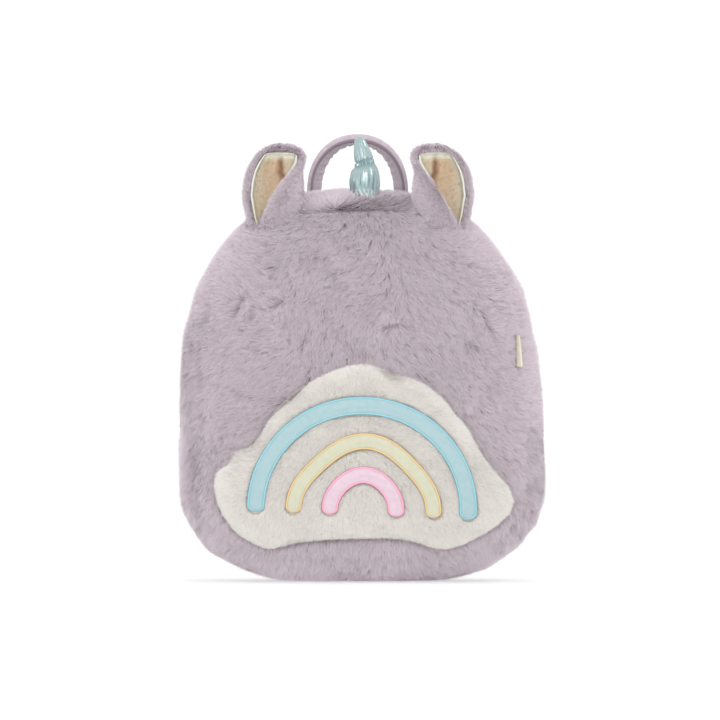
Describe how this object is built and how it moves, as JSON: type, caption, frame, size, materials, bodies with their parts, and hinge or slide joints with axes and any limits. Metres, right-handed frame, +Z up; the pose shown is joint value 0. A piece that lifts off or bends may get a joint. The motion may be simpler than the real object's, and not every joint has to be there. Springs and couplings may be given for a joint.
{
  "type": "kids animal backpack",
  "caption": "Small furry backpack for a young child, with cupped ears, a stuffed horn, a carry handle, padded straps and a plush cloud patch with padded arches.",
  "frame": {"origin": "middle of the whole object's footprint box, on the floor it stands on", "axes": "+Z up; the front panel with its patch faces -Y; the shoulder straps are on the +Y side; +X is the viewer's right when looking at the front"},
  "size_m": [0.2578, 0.13, 0.3132],
  "materials": {
    "fur": "lavender faux fur, 7 mm pile",
    "cloth": "woven lavender cloth, matt",
    "patch": "cream plush, 5 mm pile",
    "arch_blue": "brushed cloth, pale blue, satin stitched edge",
    "arch_yellow": "brushed cloth, pale yellow, satin stitched edge",
    "arch_pink": "brushed cloth, pale pink, satin stitched edge",
    "ear_lining": "cream satin cloth",
    "horn": "shiny metallic teal cloth",
    "tag": "folded woven tape, bare",
    "webbing": "woven lavender webbing",
    "plastic": "lavender plastic"
  },
  "bodies": {
    "root": {"front_panel": "fur", "lower_gusset": "fur", "zip_gusset_front": "fur", "zip_gusset_back": "fur", "zip_tape": "cloth", "zip_slider": "plastic", "back_panel": "cloth", "handle": "cloth", "horn": "horn", "cloud_patch": "patch", "arch_blue": "arch_blue", "arch_yellow": "arch_yellow", "arch_pink": "arch_pink", "side_label": "tag", "ear_left": "fur", "ear_right": "fur", "ear_lining_left": "ear_lining", "ear_lining_right": "ear_lining", "shoulder_strap_left": "cloth", "shoulder_strap_right": "cloth", "strap_webbing_left": "webbing", "strap_webbing_right": "webbing", "strap_adjuster_left": "plastic", "strap_adjuster_right": "plastic"}
  },
  "joints": []
}
